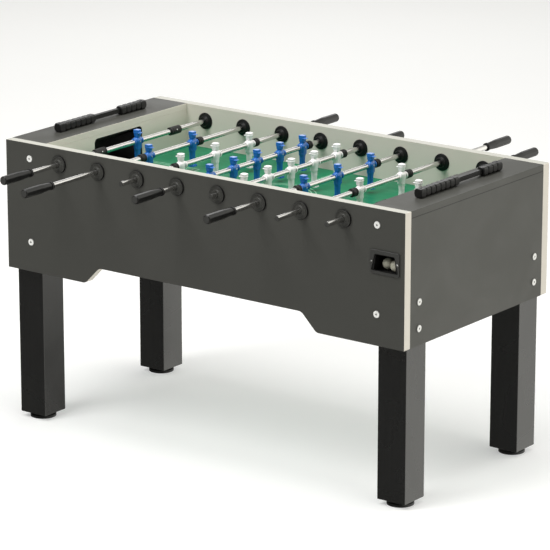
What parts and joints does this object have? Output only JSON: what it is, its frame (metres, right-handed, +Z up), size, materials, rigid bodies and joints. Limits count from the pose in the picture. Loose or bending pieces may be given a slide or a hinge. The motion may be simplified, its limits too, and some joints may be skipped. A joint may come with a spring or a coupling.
{
  "type": "foosball table",
  "caption": "Foosball table: panelled cabinet on square legs, turning and sliding chrome rods with figures, goals, sloped ball returns, side outlets and bead counters.",
  "frame": {"origin": "on the floor under the middle of the table, at the bottom centre of the bounding box", "axes": "+X along the table from the left goal to the right goal, +Y from the front side panel to the back one, along the rods, +Z up"},
  "size_m": [1.4764, 1.4072, 0.912],
  "materials": {
    "dark_laminate_board": "matt dark grey laminate on board, pale inside faces and pale edge banding",
    "pale_laminate_board": "matt pale laminate on board",
    "green_playfield": "satin green printed laminate with pale lines",
    "black_leg_laminate": "satin black laminate",
    "black_plastic": "moulded, lightly grained",
    "grip_plastic": "satin moulded",
    "sleeve_plastic": "smooth bearing plastic",
    "white_cap": "white cap on a steel bolt",
    "ball_plastic": "scuffed pale ball",
    "chrome_tube": "polished",
    "black_rubber": "matt",
    "foot_rubber": "matt",
    "blue_plastic": "moulded gloss",
    "white_plastic": "moulded gloss"
  },
  "bodies": {
    "cabinet": {"side_panels": "dark_laminate_board", "end_panels": "dark_laminate_board", "end_shelves": "dark_laminate_board", "playfield": "green_playfield", "goal_walls": "pale_laminate_board", "ball_return_trays": "black_plastic", "ball_outlets": "black_plastic", "legs": "black_leg_laminate", "panel_bolts": "white_cap", "bearing_housings": "black_plastic", "counter_rails": "black_plastic"},
    "rod_1_bearing_sleeves": {"rod_1_sleeves": "sleeve_plastic"},
    "rod_1": {"rod_1_tube": "chrome_tube", "rod_1_rubbers": "black_rubber", "rod_1_grip": "grip_plastic", "rod_1_men": "blue_plastic"},
    "rod_2_bearing_sleeves": {"rod_2_sleeves": "sleeve_plastic"},
    "rod_2": {"rod_2_tube": "chrome_tube", "rod_2_rubbers": "black_rubber", "rod_2_grip": "grip_plastic", "rod_2_men": "blue_plastic"},
    "rod_3_bearing_sleeves": {"rod_3_sleeves": "sleeve_plastic"},
    "rod_3": {"rod_3_tube": "chrome_tube", "rod_3_rubbers": "black_rubber", "rod_3_grip": "grip_plastic", "rod_3_men": "white_plastic"},
    "rod_4_bearing_sleeves": {"rod_4_sleeves": "sleeve_plastic"},
    "rod_4": {"rod_4_tube": "chrome_tube", "rod_4_rubbers": "black_rubber", "rod_4_grip": "grip_plastic", "rod_4_men": "blue_plastic"},
    "rod_5_bearing_sleeves": {"rod_5_sleeves": "sleeve_plastic"},
    "rod_5": {"rod_5_tube": "chrome_tube", "rod_5_rubbers": "black_rubber", "rod_5_grip": "grip_plastic", "rod_5_men": "white_plastic"},
    "rod_6_bearing_sleeves": {"rod_6_sleeves": "sleeve_plastic"},
    "rod_6": {"rod_6_tube": "chrome_tube", "rod_6_rubbers": "black_rubber", "rod_6_grip": "grip_plastic", "rod_6_men": "blue_plastic"},
    "rod_7_bearing_sleeves": {"rod_7_sleeves": "sleeve_plastic"},
    "rod_7": {"rod_7_tube": "chrome_tube", "rod_7_rubbers": "black_rubber", "rod_7_grip": "grip_plastic", "rod_7_men": "white_plastic"},
    "rod_8_bearing_sleeves": {"rod_8_sleeves": "sleeve_plastic"},
    "rod_8": {"rod_8_tube": "chrome_tube", "rod_8_rubbers": "black_rubber", "rod_8_grip": "grip_plastic", "rod_8_men": "white_plastic"},
    "foot_front_left": {"foot_front_left": "foot_rubber"},
    "foot_back_left": {"foot_back_left": "foot_rubber"},
    "foot_front_right": {"foot_front_right": "foot_rubber"},
    "foot_back_right": {"foot_back_right": "foot_rubber"},
    "left_counter_front_beads": {"left_counter_front_beads": "black_plastic"},
    "left_counter_back_beads": {"left_counter_back_beads": "black_plastic"},
    "right_counter_front_beads": {"right_counter_front_beads": "black_plastic"},
    "right_counter_back_beads": {"right_counter_back_beads": "black_plastic"},
    "balls": {"balls": "ball_plastic"}
  },
  "joints": [
    {"name": "rod_1_turn", "type": "hinge", "parent": "cabinet", "child": "rod_1_bearing_sleeves", "pos_m": [-0.525, 0, 0.838], "axis": [0, 1, 0], "continuous": true},
    {"name": "rod_1_slide", "type": "slide", "parent": "rod_1_bearing_sleeves", "child": "rod_1", "axis": [0, 1, 0], "range_m": [-0.12, 0.12]},
    {"name": "rod_2_turn", "type": "hinge", "parent": "cabinet", "child": "rod_2_bearing_sleeves", "pos_m": [-0.375, 0, 0.838], "axis": [0, 1, 0], "continuous": true},
    {"name": "rod_2_slide", "type": "slide", "parent": "rod_2_bearing_sleeves", "child": "rod_2", "axis": [0, 1, 0], "range_m": [-0.1525, 0.1995]},
    {"name": "rod_3_turn", "type": "hinge", "parent": "cabinet", "child": "rod_3_bearing_sleeves", "pos_m": [-0.225, 0, 0.838], "axis": [0, 1, 0], "continuous": true},
    {"name": "rod_3_slide", "type": "slide", "parent": "rod_3_bearing_sleeves", "child": "rod_3", "axis": [0, 1, 0], "range_m": [-0.124, 0.112]},
    {"name": "rod_4_turn", "type": "hinge", "parent": "cabinet", "child": "rod_4_bearing_sleeves", "pos_m": [-0.075, 0, 0.838], "axis": [0, 1, 0], "continuous": true},
    {"name": "rod_4_slide", "type": "slide", "parent": "rod_4_bearing_sleeves", "child": "rod_4", "axis": [0, 1, 0], "range_m": [-0.071, 0.041]},
    {"name": "rod_5_turn", "type": "hinge", "parent": "cabinet", "child": "rod_5_bearing_sleeves", "pos_m": [0.075, 0, 0.838], "axis": [0, 1, 0], "continuous": true},
    {"name": "rod_5_slide", "type": "slide", "parent": "rod_5_bearing_sleeves", "child": "rod_5", "axis": [0, 1, 0], "range_m": [-0.043, 0.069]},
    {"name": "rod_6_turn", "type": "hinge", "parent": "cabinet", "child": "rod_6_bearing_sleeves", "pos_m": [0.225, 0, 0.838], "axis": [0, 1, 0], "continuous": true},
    {"name": "rod_6_slide", "type": "slide", "parent": "rod_6_bearing_sleeves", "child": "rod_6", "axis": [0, 1, 0], "range_m": [-0.132, 0.104]},
    {"name": "rod_7_turn", "type": "hinge", "parent": "cabinet", "child": "rod_7_bearing_sleeves", "pos_m": [0.375, 0, 0.838], "axis": [0, 1, 0], "continuous": true},
    {"name": "rod_7_slide", "type": "slide", "parent": "rod_7_bearing_sleeves", "child": "rod_7", "axis": [0, 1, 0], "range_m": [-0.1995, 0.1525]},
    {"name": "rod_8_turn", "type": "hinge", "parent": "cabinet", "child": "rod_8_bearing_sleeves", "pos_m": [0.525, 0, 0.838], "axis": [0, 1, 0], "continuous": true},
    {"name": "rod_8_slide", "type": "slide", "parent": "rod_8_bearing_sleeves", "child": "rod_8", "axis": [0, 1, 0], "range_m": [-0.12, 0.12]},
    {"name": "foot_front_left_level", "type": "slide", "parent": "cabinet", "child": "foot_front_left", "axis": [0, 0, -1], "range_m": [0, 0.02]},
    {"name": "foot_back_left_level", "type": "slide", "parent": "cabinet", "child": "foot_back_left", "axis": [0, 0, -1], "range_m": [0, 0.02]},
    {"name": "foot_front_right_level", "type": "slide", "parent": "cabinet", "child": "foot_front_right", "axis": [0, 0, -1], "range_m": [0, 0.02]},
    {"name": "foot_back_right_level", "type": "slide", "parent": "cabinet", "child": "foot_back_right", "axis": [0, 0, -1], "range_m": [0, 0.02]},
    {"name": "left_counter_front_beads_slide", "type": "slide", "parent": "cabinet", "child": "left_counter_front_beads", "axis": [0, 1, 0], "range_m": [0, 0.1247]},
    {"name": "left_counter_back_beads_slide", "type": "slide", "parent": "cabinet", "child": "left_counter_back_beads", "axis": [0, 1, 0], "range_m": [-0.1247, 0]},
    {"name": "right_counter_front_beads_slide", "type": "slide", "parent": "cabinet", "child": "right_counter_front_beads", "axis": [0, 1, 0], "range_m": [0, 0.1247]},
    {"name": "right_counter_back_beads_slide", "type": "slide", "parent": "cabinet", "child": "right_counter_back_beads", "axis": [0, 1, 0], "range_m": [-0.1247, 0]},
    {"name": "balls_roll_in_tray", "type": "slide", "parent": "cabinet", "child": "balls", "axis": [0, 0.9981, 0.0613], "range_m": [0, 0.3]}
  ]
}
